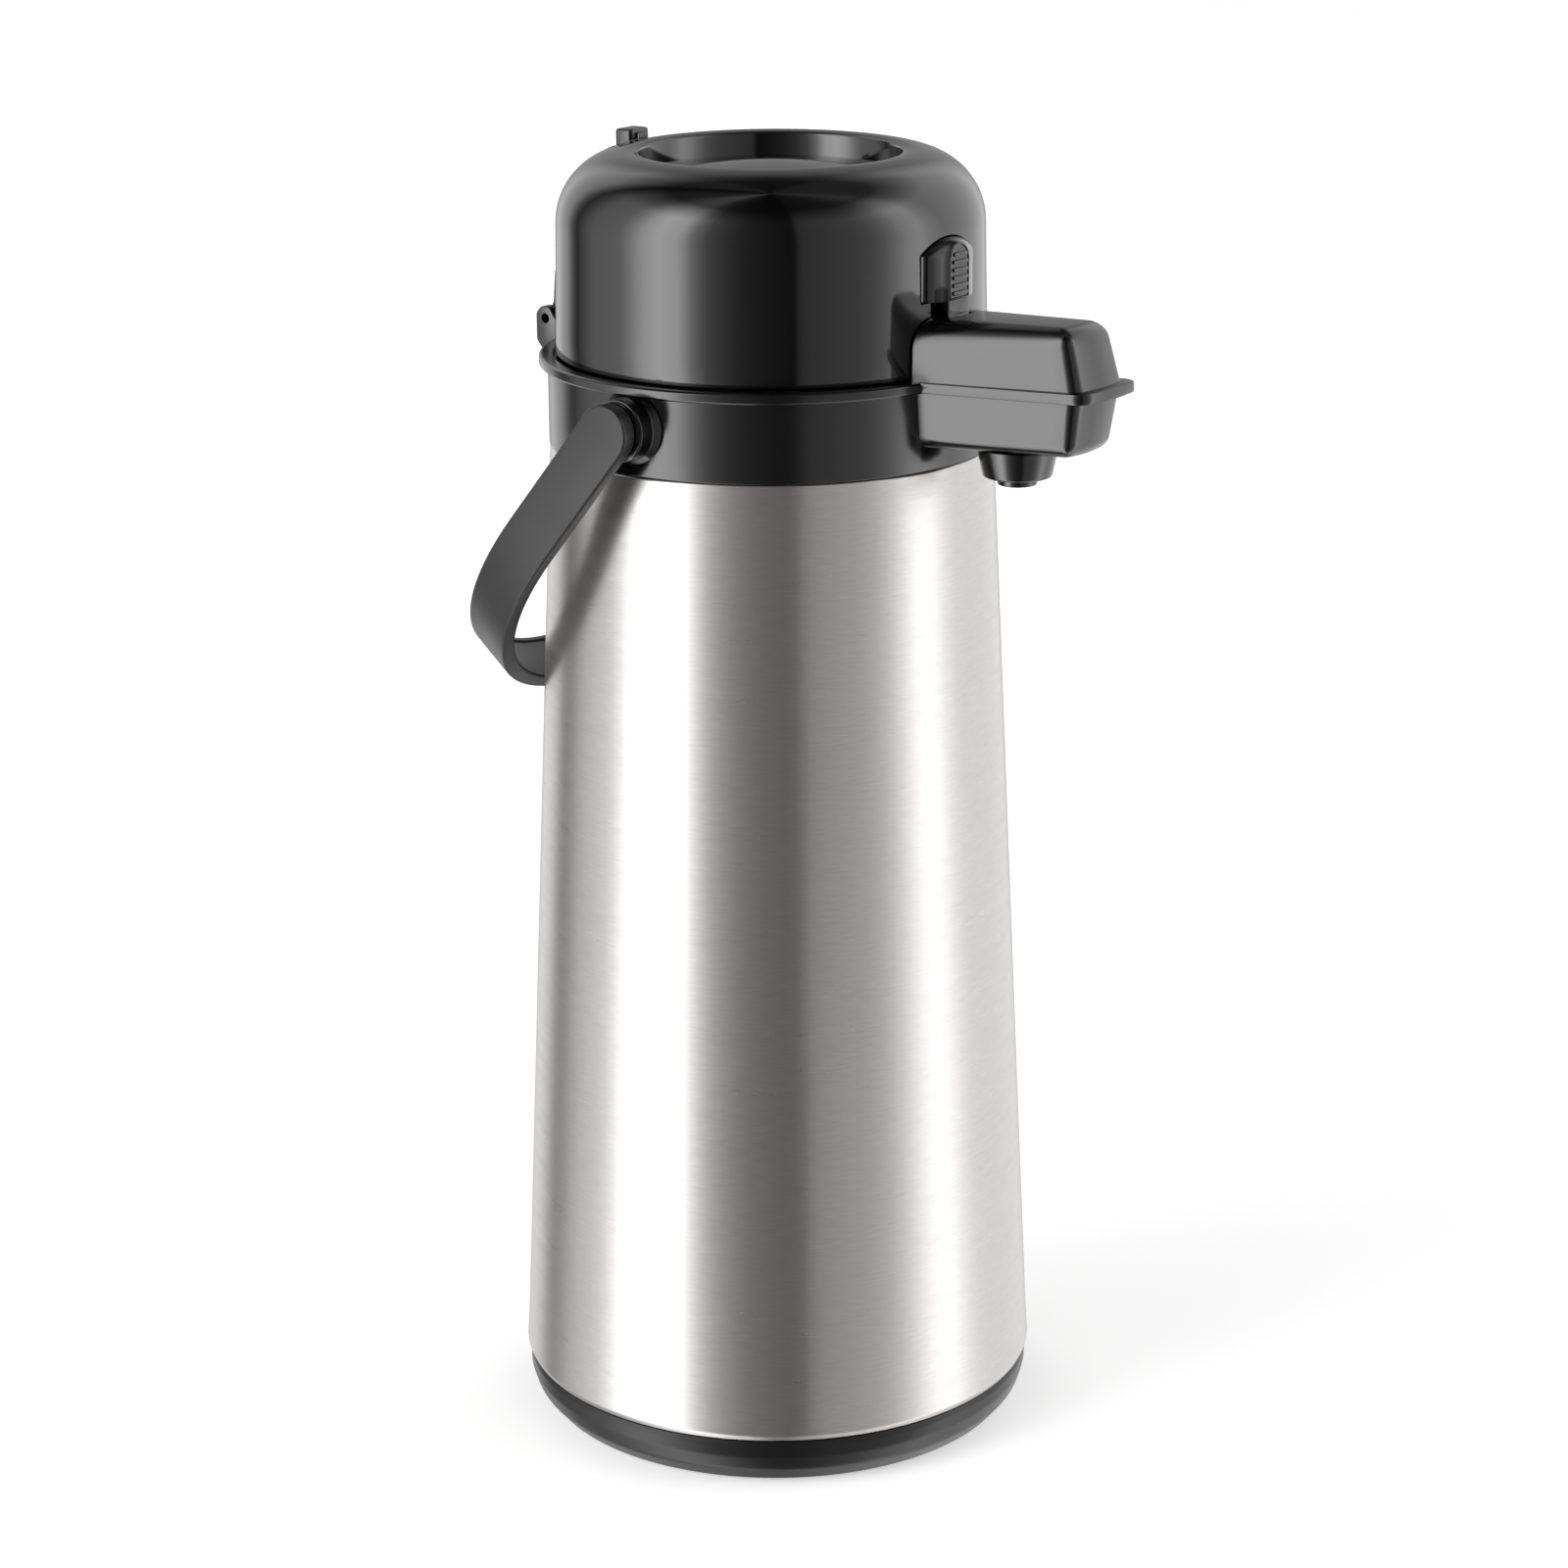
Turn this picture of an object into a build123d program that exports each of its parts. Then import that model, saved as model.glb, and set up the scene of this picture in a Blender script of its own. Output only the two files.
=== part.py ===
from build123d import *
from math import cos, sin, tan, radians, sqrt

# Thermal coffee airpot: a lever-free pump jug with a tapered steel jacket, a vacuum liner,
# a plastic collar with a front spout, a hinged dome lid with a sprung push plate, and a bail.
# Frame: millimetres, +Z up, origin on the body axis at the standing plane, spout towards -Y.

# ---- driving dimensions ---------------------------------------------------------------
SKIN = 0.8                  # sheet-steel thickness
WALL = 2.2                  # moulded wall thickness
GAP = 0.3                   # clearance between bodies that move past each other

BASE_TOP = 15.8             # top of the black base's skirt
BASE_R = 82.2               # widest radius of the base
CAP_R = 51.7                # screw cap under the liner

JACKET_BOTTOM = 16.2        # rolled hem of the steel jacket
JACKET_TOP = 320.4
JACKET_WIDE_R = 83.2        # just above the hem
JACKET_WIDE_Z = 19.3
JACKET_LOW_R = 82.5         # start of the straight taper
JACKET_LOW_Z = 28.3
JACKET_TOP_R = 69.05

LINER_BOTTOM = 22.0
LINER_R = 65.5              # outer wall of the vacuum liner
LINER_SHOULDER = 282.0
LINER_NECK_R = 36.8
LINER_TOP = 316.0
VACUUM_GAP = 4.0

DECK_BOTTOM = 318.5
DECK_TOP = 321.0
COLLAR_R = 69.3
COLLAR_IN_R = 66.3
FLANGE_R = 72.0
FLANGE_TOP = 348.1
FLANGE_THICK = 3.3

SPOUT_TILT = 2.0            # degrees that the spout's parting line rises to its tip
SPOUT_ROOT = 66.0           # distance from the body axis where the spout leaves the collar
SPOUT_TIP = 118.7
SPOUT_ROOT_HALF = 17.6      # half widths at the parting line
SPOUT_TIP_HALF = 13.2
SPOUT_RISE = 17.9           # height of the cover above the parting line
SPOUT_DROP = 20.5           # depth of the trough under it
BAND_OVERHANG = 2.2         # flange band past the spout's walls
NOZZLE_Y = -91.5
NOZZLE_HOLE_R = 8.4

TUBE_R = 4.0                # coffee tube
TUBE_WALL = 0.8
TUBE_Z = 336.0
TUBE_BEND_R = 9.0
STEM_BOTTOM = 34.0

PIVOT_Z = 335.3             # handle trunnions
BOSS_R = 9.5
BOSS_END = 76.5
HANDLE_PIN_R = 5.0
HANDLE_OUT = 83.5           # outer face of each handle arm
HANDLE_THICK = 5.0
HANDLE_WIDTH = 17.5
HANDLE_REACH = 125.0        # pivot to the inside of the grip
HANDLE_DROP = 50.0          # degrees below level at rest

DOME_BOTTOM = 349.0
DOME_R = 66.9
DOME_TOP_R = 66.0           # radius where the shoulder starts
SHOULDER_R = 22.0
CREST_Z = 410.0
RIM_R = 40.2                # opening over the push plate
RIM_Z = 409.3
WELL_BOTTOM = 366.0

PLATE_R = 39.5
PLATE_TOP = 402.6           # rim of the push plate
PLATE_CROWN = 3.6           # rise of its middle above the rim
PLATE_SKIRT = 17.6

LID_HINGE_Y = 72.5
LID_HINGE_Z = 353.5
HINGE_PIN_R = 1.6
LEAF_HALF = 17.5

LATCH_PIVOT_Y = -60.4
LATCH_PIVOT_Z = 376.0
LATCH_PIN_R = 1.2
LATCH_HALF = 5.1            # half width of the latch's ribbed face
LATCH_FACE_Y = -70.4
LATCH_LOW = 370.7
LATCH_TOP = 387.9
LATCH_ROOT_HALF = 12.6      # half width where the latch meets the dome
LATCH_ROOT_Y = -65.3
LATCH_EAR_X = 13.3          # inner faces of the ears that carry the latch pin

LOCK_R = 50.5               # arc slot of the lock slider
LOCK_SLOT_WIDTH = 3.0
LOCK_TRAVEL = 22.0          # degrees

INNER_LID_R = 63.2
INNER_LID_Z = 343.2
BELLOWS_R = 33.0
BELLOWS_FOLDS = 8


def keep(builder, name):
    """Label a finished piece and write it to its own file."""
    builder.part.label = name
    export_step(builder.part, f"parts/{name}.step")


def turned(points):
    """A solid of revolution about Z from a closed outline of (radius, height) points."""
    with BuildPart() as body:
        with BuildSketch(Plane.XZ):
            with BuildLine():
                Polyline(*points, close=True)
            make_face()
        revolve(axis=Axis.Z)
    return body


def cross_plane(x, z=0.0):
    """A plane across the X axis: local X is +Y and local Y is +Z."""
    return Plane(origin=(x, 0, z), x_dir=(0, 1, 0), z_dir=(1, 0, 0))


def shoulder_height(radius, offset=0.0):
    """Height of the dome's rounded shoulder at a radius, moved out by an offset."""
    centre_r = DOME_TOP_R - SHOULDER_R
    return CREST_Z - SHOULDER_R + sqrt((SHOULDER_R + offset) ** 2 - (radius - centre_r) ** 2)


# ---- base -------------------------------------------------------------------------------
def make_base():
    ring = turned([
        (CAP_R + 0.6, 3.0), (65.5, 3.0), (65.5, 1.4), (74.0, 0.5), (76.6, 0.5), (77.9, 1.2),
        (80.2, 5.0), (81.7, 9.0), (BASE_R, 12.3), (81.9, BASE_TOP), (79.4, BASE_TOP), (79.4, 22.0),
        (77.0, 22.0), (77.0, 6.2), (CAP_R + 0.6, 6.2),
    ])
    keep(ring, "base_ring")
    foot = turned([(66.0, 0.0), (73.0, 0.0), (73.0, 0.6), (66.0, 1.3)])
    keep(foot, "foot_ring")
    with BuildPart() as cap:
        with BuildSketch(Plane.XZ):
            with BuildLine():
                Polyline((0, 4.0), (CAP_R, 4.0), (CAP_R, 10.0), (49.5, 10.0), (49.5, 14.0),
                         (46.5, 14.0), (46.5, 6.6), (0, 6.6), close=True)
            make_face()
        revolve(axis=Axis.Z)
        with BuildSketch(Plane.XY.offset(1.5)):
            SlotOverall(62.0, 7.0)
        extrude(amount=2.6)
    keep(cap, "bottom_cap")
    cushion = turned([(12.0, 6.7), (44.0, 6.7), (45.8, 9.0), (45.8, 21.8), (30.0, 21.8), (12.0, 12.0)])
    keep(cushion, "liner_cushion")


# ---- steel jacket and vacuum liner ------------------------------------------------------
def make_jacket():
    jacket = turned([
        (79.6, JACKET_BOTTOM), (82.2, JACKET_BOTTOM), (82.9, 17.2), (JACKET_WIDE_R, JACKET_WIDE_Z),
        (JACKET_LOW_R + 0.25, 24.5), (JACKET_LOW_R, JACKET_LOW_Z), (JACKET_TOP_R, JACKET_TOP),
        (JACKET_TOP_R - SKIN, JACKET_TOP), (JACKET_LOW_R - SKIN, JACKET_LOW_Z),
        (JACKET_LOW_R + 0.25 - SKIN, 24.5), (JACKET_WIDE_R - SKIN, JACKET_WIDE_Z),
        (81.9, JACKET_BOTTOM + SKIN), (79.6, JACKET_BOTTOM + SKIN),
    ])
    keep(jacket, "outer_jacket")


def liner_shell(bottom, radius, neck_r, lip):
    """One wall of the liner: a drawn can with a coned shoulder, a straight neck and its lip."""
    shoulder = LINER_SHOULDER - (LINER_R - radius) * 0.5
    neck_start = shoulder + 19.0
    inside = [(0, bottom + SKIN), (radius - 8.0, bottom + SKIN), (radius - SKIN, bottom + 8.0),
              (radius - SKIN, shoulder), (neck_r - SKIN, neck_start)]
    outside = [(neck_r, neck_start), (radius, shoulder), (radius, bottom + 7.5),
               (radius - 7.5, bottom), (0, bottom)]
    return turned(inside + lip + outside)


def make_liner():
    outer_lip = [(LINER_NECK_R - SKIN, LINER_TOP), (LINER_NECK_R, LINER_TOP)]
    keep(liner_shell(LINER_BOTTOM, LINER_R, LINER_NECK_R, outer_lip), "liner_outer")
    neck_r = LINER_NECK_R - VACUUM_GAP
    inner_lip = [(neck_r - SKIN, LINER_TOP + SKIN), (LINER_NECK_R, LINER_TOP + SKIN),
                 (LINER_NECK_R, LINER_TOP), (neck_r, LINER_TOP)]
    keep(liner_shell(LINER_BOTTOM + 5.0, LINER_R - VACUUM_GAP, neck_r, inner_lip), "liner_inner")
    gasket = turned([(neck_r, LINER_TOP + SKIN), (39.0, LINER_TOP + SKIN), (39.0, DECK_BOTTOM),
                     (neck_r, DECK_BOTTOM)])
    keep(gasket, "neck_gasket")


# ---- spout plane and outlines -----------------------------------------------------------
def spout_plane(height=0.0):
    """The spout's parting plane, rising towards the tip, or one parallel to it."""
    normal = (0, sin(radians(SPOUT_TILT)), cos(radians(SPOUT_TILT)))
    level = FLANGE_TOP - SPOUT_ROOT * tan(radians(SPOUT_TILT))
    plane = Plane(origin=(0, 0, level), x_dir=(1, 0, 0), z_dir=normal)
    return plane.offset(height)


def spout_outline(root_half, tip_half, tip, corner, start=56.0, bow=1.6):
    """Plan of the spout: straight sides that close in, and a bowed front with round corners."""
    slope = (root_half - tip_half) / (SPOUT_TIP - SPOUT_ROOT)
    start_half = root_half + slope * (SPOUT_ROOT - start)
    with BuildSketch() as outline:
        with BuildLine():
            left = Line((-start_half, -start), (-tip_half, -(tip - bow)))
            front = ThreePointArc(left @ 1, (0, -tip), (tip_half, -(tip - bow)))
            right = Line(front @ 1, (start_half, -start))
            Line(right @ 1, left @ 0)
        make_face()
        fillet(outline.vertices().sort_by(Axis.Y)[0:2], radius=corner)
    return outline.sketch


# ---- collar -----------------------------------------------------------------------------
def make_collar():
    trough_top = spout_outline(SPOUT_ROOT_HALF, SPOUT_TIP_HALF, SPOUT_TIP, 4.5)
    trough_foot = spout_outline(SPOUT_ROOT_HALF - 1.2, SPOUT_TIP_HALF - 1.8, SPOUT_TIP - 4.0, 3.5)
    band = spout_outline(SPOUT_ROOT_HALF + 1.2, SPOUT_TIP_HALF + BAND_OVERHANG, SPOUT_TIP + 4.0, 5.5)
    hollow = spout_outline(SPOUT_ROOT_HALF - 4.6 - WALL, SPOUT_TIP_HALF - 2.6 - WALL,
                           SPOUT_TIP - 5.0 - WALL, 3.0)
    with BuildPart() as collar:
        with BuildSketch(Plane.XZ):
            with BuildLine():
                Polyline(
                    (33.0, DECK_BOTTOM), (65.2, DECK_BOTTOM), (65.2, 311.0), (67.6, 311.0),
                    (67.9, JACKET_TOP + 0.1), (COLLAR_R, JACKET_TOP + 0.1),
                    (COLLAR_R, FLANGE_TOP - FLANGE_THICK), (FLANGE_R, FLANGE_TOP - FLANGE_THICK),
                    (FLANGE_R, FLANGE_TOP), (COLLAR_IN_R, FLANGE_TOP), (COLLAR_IN_R, DECK_TOP),
                    (33.0, DECK_TOP), close=True)
            make_face()
        revolve(axis=Axis.Z)
        # hinge ears at the rear, each with a gusset under the flange
        for side in (-1, 1):
            with BuildSketch(cross_plane(side * (LEAF_HALF + 0.8))):
                with BuildLine():
                    Polyline((65.0, 332.0), (65.0, 350.0), (68.6, LID_HINGE_Z),
                             (LID_HINGE_Y + 4.0, LID_HINGE_Z), (LID_HINGE_Y + 4.0, 346.5),
                             (LID_HINGE_Y, 341.5), (68.2, 332.0), close=True)
                make_face()
                with Locations((LID_HINGE_Y, LID_HINGE_Z)):
                    Circle(3.9)
                    Circle(HINGE_PIN_R + 0.01, mode=Mode.SUBTRACT)
            extrude(amount=side * 4.0)
        # lower half of the spout
        with BuildSketch(spout_plane()):
            add(trough_top)
        with BuildSketch(spout_plane(-SPOUT_DROP)):
            add(trough_foot)
        loft()
        fillet(collar.edges().filter_by(lambda e: e.center().Z < 331 and e.center().Y < -74), radius=3.2)
        # flange band round the spout
        with BuildSketch(spout_plane(-FLANGE_THICK)):
            add(band)
        extrude(amount=FLANGE_THICK)
        # hollow of the spout, then the room inside the collar
        with BuildSketch(spout_plane(-SPOUT_DROP + WALL)):
            add(hollow)
        extrude(amount=SPOUT_DROP, mode=Mode.SUBTRACT)
        with BuildSketch(Plane.XY.offset(DECK_TOP)):
            Circle(COLLAR_IN_R)
        extrude(amount=40.0, mode=Mode.SUBTRACT)
        with BuildSketch(Plane.XY.offset(310.0)):
            with Locations((0, NOZZLE_Y)):
                Circle(NOZZLE_HOLE_R)
        extrude(amount=30.0, mode=Mode.SUBTRACT)
        # trunnion bosses with blind bores
        for side in (-1, 1):
            with BuildSketch(cross_plane(side * 67.0, PIVOT_Z)):
                Circle(BOSS_R)
            extrude(amount=side * (BOSS_END - 67.0))
            with BuildSketch(cross_plane(side * 69.5, PIVOT_Z)):
                Circle(HANDLE_PIN_R + 0.05)
            extrude(amount=side * (BOSS_END - 69.0), mode=Mode.SUBTRACT)
    keep(collar, "collar")


def make_spout_cover():
    foot = spout_outline(SPOUT_ROOT_HALF, SPOUT_TIP_HALF, SPOUT_TIP, 4.5)
    top = spout_outline(SPOUT_ROOT_HALF - 1.0, SPOUT_TIP_HALF - 1.4, SPOUT_TIP - 4.2, 4.0)
    room = spout_outline(SPOUT_ROOT_HALF - 3.4, SPOUT_TIP_HALF - 2.8, SPOUT_TIP - 6.5, 3.0)
    with BuildPart() as cover:
        with BuildSketch(spout_plane(0.1)):
            add(foot)
        with BuildSketch(spout_plane(SPOUT_RISE)):
            add(top)
        loft()
        fillet(cover.edges().group_by(Axis.Z)[-1], radius=3.4)
        with BuildSketch(spout_plane(0.0)):
            add(room)
        extrude(amount=SPOUT_RISE - WALL - 0.6, mode=Mode.SUBTRACT)
        # rear end follows the dome, with a pocket and a ledge for the latch
        with BuildSketch(Plane.XY.offset(340.0)):
            Circle(DOME_R + GAP + 0.6)
        extrude(amount=40.0, mode=Mode.SUBTRACT)
        with BuildSketch(Plane.XY.offset(362.8)):
            with Locations((0, -69.8)):
                Rectangle(2 * LATCH_HALF + 2.0, 5.2)
        extrude(amount=8.0, mode=Mode.SUBTRACT)
    keep(cover, "spout_cover")


# ---- coffee path ------------------------------------------------------------------------
def make_coffee_path():
    with BuildPart() as tube:
        with BuildLine():
            run = Line((0, -5.2, TUBE_Z), (0, NOZZLE_Y + TUBE_BEND_R, TUBE_Z))
            bulge = TUBE_BEND_R * (1 - cos(radians(45)))
            bend = ThreePointArc(run @ 1, (0, NOZZLE_Y + bulge, TUBE_Z - bulge),
                                 (0, NOZZLE_Y, TUBE_Z - TUBE_BEND_R))
            Line(bend @ 1, (0, NOZZLE_Y, 321.5))
        with BuildSketch(Plane(origin=(0, -5.2, TUBE_Z), x_dir=(1, 0, 0), z_dir=(0, -1, 0))):
            Circle(TUBE_R)
            Circle(TUBE_R - TUBE_WALL, mode=Mode.SUBTRACT)
        sweep()
    keep(tube, "spout_tube")
    nozzle = turned([
        (7.4, 331.0), (7.4, 327.0), (TUBE_R + 0.05, 326.0), (TUBE_R + 0.05, 321.4), (3.8, 321.4),
        (3.8, 317.3), (5.2, 317.3), (5.2, 319.8), (9.2, 319.8), (10.2, 324.0), (11.2, 327.8),
        (8.2, 328.2), (8.2, 331.0),
    ])
    nozzle.part.position = (0, NOZZLE_Y, 0)
    keep(nozzle, "nozzle")
    with BuildPart() as stem:
        with BuildSketch(Plane.XY.offset(STEM_BOTTOM)):
            Circle(TUBE_R)
            Circle(TUBE_R - TUBE_WALL, mode=Mode.SUBTRACT)
        extrude(amount=TUBE_Z - 5.0 - STEM_BOTTOM)
        with BuildSketch(cross_plane(-10.0, STEM_BOTTOM)):
            Circle(1.8)
        extrude(amount=20.0, mode=Mode.SUBTRACT)
    keep(stem, "siphon_stem")
    with BuildPart() as holder:
        with BuildSketch(Plane.XZ):
            with BuildLine():
                Polyline((0, 313.0), (30.6, 313.0), (30.6, DECK_TOP + 0.1), (36.0, DECK_TOP + 0.1),
                         (36.0, 325.0), (31.0, 325.0), (31.0, 341.0), (0, 341.0), close=True)
            make_face()
        revolve(axis=Axis.Z)
        with BuildSketch(Plane.XY.offset(300.0)):
            Circle(TUBE_R + 0.02)
        extrude(amount=TUBE_Z - 300.0, mode=Mode.SUBTRACT)
        with BuildSketch(Plane(origin=(0, TUBE_R, TUBE_Z), x_dir=(1, 0, 0), z_dir=(0, -1, 0))):
            Circle(TUBE_R + 0.02)
        extrude(amount=50.0, mode=Mode.SUBTRACT)
        # vent holes that let the pumped air into the liner
        with BuildSketch(Plane.XY.offset(300.0)):
            with Locations((-17.0, 8.0), (17.0, 8.0), (0, 18.0)):
                Circle(2.5)
        extrude(amount=60.0, mode=Mode.SUBTRACT)
    keep(holder, "stem_holder")


# ---- lid shell --------------------------------------------------------------------------
def dome_section():
    """Section of the dome: outer wall, round shoulder, crest and the wall of the plate's well."""
    centre = (DOME_TOP_R - SHOULDER_R, CREST_Z - SHOULDER_R)
    diagonal = sin(radians(45))
    inner_r = SHOULDER_R - 2.4
    well_r = RIM_R + WALL
    with BuildSketch() as section:
        with BuildLine():
            wall = Line((DOME_R, DOME_BOTTOM), (DOME_TOP_R, centre[1]))
            middle = (centre[0] + SHOULDER_R * diagonal, centre[1] + SHOULDER_R * diagonal)
            over = ThreePointArc(wall @ 1, middle, (centre[0], CREST_Z))
            lip = Line(over @ 1, (RIM_R + 0.9, RIM_Z + 0.35))
            edge = Line(lip @ 1, (RIM_R, RIM_Z - 0.5))
            well = Line(edge @ 1, (RIM_R, WELL_BOTTOM))
            foot = Line(well @ 1, (well_r, WELL_BOTTOM))
            back = Line(foot @ 1, (well_r, centre[1] + sqrt(inner_r ** 2 - (centre[0] - well_r) ** 2)))
            middle = (centre[0] + inner_r * diagonal, centre[1] + inner_r * diagonal)
            under = ThreePointArc(back @ 1, middle, (DOME_TOP_R - 2.4, centre[1]))
            inside = Line(under @ 1, (DOME_R - 2.4, DOME_BOTTOM))
            Line(inside @ 1, wall @ 0)
        make_face()
    return section.sketch


def front_plane(y):
    """A plane across the Y axis that faces the spout: local X is +X and local Y is +Z."""
    return Plane(origin=(0, y, 0), x_dir=(1, 0, 0), z_dir=(0, -1, 0))


def latch_outline(half, low, spring, top):
    """Front view of the latch: straight sides up to the springing of a round top."""
    with BuildSketch() as outline:
        with BuildLine():
            sides = Polyline((half, spring), (half, low), (-half, low), (-half, spring))
            ThreePointArc(sides @ 1, (0, top), sides @ 0)
        make_face()
    return outline.sketch


def make_dome():
    section = dome_section()
    with BuildPart() as dome:
        with BuildSketch(Plane.XZ):
            add(section)
        revolve(axis=Axis.Z)
        # window of the front latch
        with BuildSketch(front_plane(-60.0)):
            add(latch_outline(LATCH_ROOT_HALF + 0.4, LATCH_LOW - 1.1, LATCH_TOP - 3.0, LATCH_TOP + 1.6))
            with Locations((0, 365.0)):
                Rectangle(2 * LATCH_HALF + 1.2, 15.0)
        extrude(amount=12.0, mode=Mode.SUBTRACT)
        # ears that carry the latch pin
        for side in (-1, 1):
            with BuildSketch(cross_plane(side * LATCH_EAR_X)):
                with Locations((LATCH_PIVOT_Y, LATCH_PIVOT_Z)):
                    Rectangle(7.0, 8.0)
                    Circle(LATCH_PIN_R + 0.03, mode=Mode.SUBTRACT)
            extrude(amount=side * 2.0)
        # arc slot of the lock slider
        with BuildSketch(Plane.XY.offset(400.0)):
            SlotArc(CenterArc((0, 0), LOCK_R, 90 - 4.0, LOCK_TRAVEL + 8.0), LOCK_SLOT_WIDTH)
        extrude(amount=14.0, mode=Mode.SUBTRACT)
    keep(dome, "dome_cover")


def make_hinge():
    with BuildPart() as leaf:
        with BuildSketch(cross_plane(-LEAF_HALF)):
            with BuildLine():
                Polyline((62.0, 357.5), (LID_HINGE_Y - 3.3, 356.5), (LID_HINGE_Y - 3.4, LID_HINGE_Z),
                         (LID_HINGE_Y, LID_HINGE_Z), (LID_HINGE_Y, 369.0), (69.5, 371.5),
                         (62.0, 371.5), close=True)
            make_face()
            with Locations((LID_HINGE_Y, LID_HINGE_Z)):
                Circle(3.4)
                Circle(HINGE_PIN_R + 0.06, mode=Mode.SUBTRACT)
        extrude(amount=2 * LEAF_HALF)
        with BuildSketch(Plane.XY.offset(340.0)):
            Circle(DOME_R + 0.02)
        extrude(amount=50.0, mode=Mode.SUBTRACT)
    keep(leaf, "hinge_leaf")
    with BuildPart() as pin:
        with BuildSketch(cross_plane(-LEAF_HALF - 4.8)):
            with Locations((LID_HINGE_Y, LID_HINGE_Z)):
                Circle(HINGE_PIN_R)
        extrude(amount=2 * (LEAF_HALF + 4.8))
    keep(pin, "hinge_pin")


def make_inner_lid():
    with BuildPart() as lid:
        with BuildSketch(Plane.XZ):
            with BuildLine():
                Polyline((6.0, INNER_LID_Z), (40.0, INNER_LID_Z), (40.0, 349.2), (INNER_LID_R, 349.2),
                         (INNER_LID_R, 351.2), (37.8, 351.2), (37.8, INNER_LID_Z + 2.0),
                         (6.0, INNER_LID_Z + 2.0), close=True)
            make_face()
        revolve(axis=Axis.Z)
        with BuildSketch(Plane.XY.offset(340.0)):
            with PolarLocations(54.0, 4, start_angle=45):
                Circle(2.0)
        extrude(amount=20.0, mode=Mode.SUBTRACT)
    keep(lid, "inner_lid")
    gasket = turned([(23.0, 341.2), (28.5, 341.2), (30.0, 342.0), (30.0, INNER_LID_Z),
                     (23.0, INNER_LID_Z)])
    keep(gasket, "lid_gasket")
    with BuildPart() as screws:
        with BuildSketch(Plane.XY.offset(347.6)):
            with PolarLocations(54.0, 4, start_angle=45):
                Circle(3.4)
        extrude(amount=1.6)
        with BuildSketch(Plane.XY.offset(349.2)):
            with PolarLocations(54.0, 4, start_angle=45):
                Circle(1.9)
        extrude(amount=9.0)
    keep(screws, "lid_screws")


# ---- pump -------------------------------------------------------------------------------
def make_pump():
    foot = INNER_LID_Z + 2.0
    head = PLATE_TOP - 6.6
    pitch = (head - foot) / BELLOWS_FOLDS
    outside = [(BELLOWS_R if step % 2 else BELLOWS_R - 3.6, foot + step * pitch / 2)
               for step in range(2 * BELLOWS_FOLDS + 1)]
    inside = [(radius - 1.2, height) for radius, height in outside]
    bellows = turned(outside + inside[::-1])
    keep(bellows, "bellows")
    skirt_low = PLATE_TOP - PLATE_SKIRT
    with BuildPart() as plate:
        with BuildSketch(Plane.XZ):
            with BuildLine():
                wall = Polyline((0, PLATE_TOP + PLATE_CROWN), (0, PLATE_TOP - 2.0),
                                (PLATE_R - 2.0, PLATE_TOP - 2.0), (PLATE_R - 2.0, skirt_low),
                                (PLATE_R, skirt_low), (PLATE_R, PLATE_TOP - 0.7),
                                (PLATE_R - 0.7, PLATE_TOP))
                TangentArc(wall @ 0, wall @ 1, tangent=(1, 0))
            make_face()
        revolve(axis=Axis.Z)
    keep(plate, "push_plate")
    head_ring = turned([(3.0, head), (34.5, head), (34.5, head + 2.4), (9.0, head + 2.4),
                        (9.0, PLATE_TOP - 2.0), (3.0, PLATE_TOP - 2.0)])
    keep(head_ring, "bellows_head")
    valve = turned([(0, head - 1.8), (6.5, head - 1.8), (6.5, head), (2.8, head), (2.8, PLATE_TOP - 2.6),
                    (0, PLATE_TOP - 2.6)])
    keep(valve, "air_valve")
    with BuildPart() as spring:
        with BuildLine():
            coil = Helix(pitch=6.6, height=head - foot - 2.0, radius=13.0, center=(0, 0, foot + 1.0))
        with BuildSketch(Plane(origin=coil @ 0, z_dir=coil % 0)):
            Circle(0.8)
        sweep(is_frenet=True)
    keep(spring, "pump_spring")


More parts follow.
